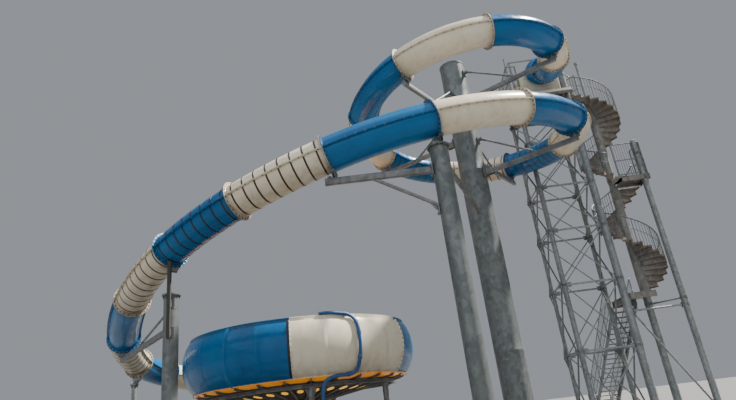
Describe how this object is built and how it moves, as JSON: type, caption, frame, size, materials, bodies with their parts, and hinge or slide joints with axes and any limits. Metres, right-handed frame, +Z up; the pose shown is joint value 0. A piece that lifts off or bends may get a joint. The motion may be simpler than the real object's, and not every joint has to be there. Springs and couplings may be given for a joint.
{
  "type": "water slide tower",
  "caption": "Closed tube slide that coils round a steel column from a stair tower and sweeps down into a round bowl on legs.",
  "frame": {"origin": "centre of the main column's foot, at ground level", "axes": "+Z up, +X from the bowl towards the stair tower, the long sweep passes on the -Y side, which is the pictured side"},
  "size_m": [22.5001, 17.1785, 16.05],
  "materials": {
    "cream": "glossy gel-coated glass fibre, weathered",
    "blue": "glossy gel-coated glass fibre",
    "orange": "glossy gel-coated glass fibre",
    "galvanised": "hot-dip galvanised steel, mottled",
    "dark_steel": "dark painted steel",
    "grating": "galvanised grating, stained",
    "pipe": "satin blue plastic pipe"
  },
  "bodies": {
    "root": {"entry_bell": "blue", "entry_tube": "blue", "bowl_entry_tube": "cream", "tube_section_01": "cream", "tube_section_02": "blue", "tube_section_03": "cream", "tube_section_04": "blue", "tube_section_05": "cream", "tube_section_06": "blue", "tube_section_07": "cream", "tube_section_08": "blue", "tube_section_09": "cream", "tube_section_10": "blue", "tube_section_11": "cream", "tube_section_12": "blue", "tube_section_13": "cream", "tube_section_14": "blue", "tube_section_15": "cream", "tube_section_16": "blue", "tube_section_17": "cream", "tube_section_18": "blue", "tube_section_19": "cream", "bowl_wall_front_left": "blue", "bowl_wall_front_right": "cream", "bowl_wall_back_right": "blue", "bowl_wall_back_left": "cream", "bowl_floor": "orange", "bowl_frame": "dark_steel", "bowl_feed_pipe": "pipe", "main_column": "galvanised", "helix_arm_top_right": "dark_steel", "helix_arm_top_left": "dark_steel", "helix_arm_back_left": "dark_steel", "helix_arm_back_right": "dark_steel", "helix_arm_low_right": "dark_steel", "second_column": "galvanised", "sweep_arm": "dark_steel", "column_tie": "dark_steel", "left_column": "galvanised", "left_bracket": "dark_steel", "left_arm": "dark_steel", "bend_post": "galvanised", "tower_front_frame": "galvanised", "tower_back_frame": "galvanised", "tower_left_lattice": "galvanised", "tower_right_lattice": "galvanised", "stair_mast": "galvanised", "stair_leg": "galvanised", "start_platform": "grating", "platform_railing": "galvanised", "start_housing": "cream", "upper_flight_railing": "galvanised", "lower_flight_railing": "galvanised", "stair_upper_flight": "grating", "stair_lower_flight": "grating", "middle_landing": "grating", "access_landing": "grating", "access_flight": "galvanised", "access_railing_left": "galvanised", "access_railing_right": "galvanised"}
  },
  "joints": []
}
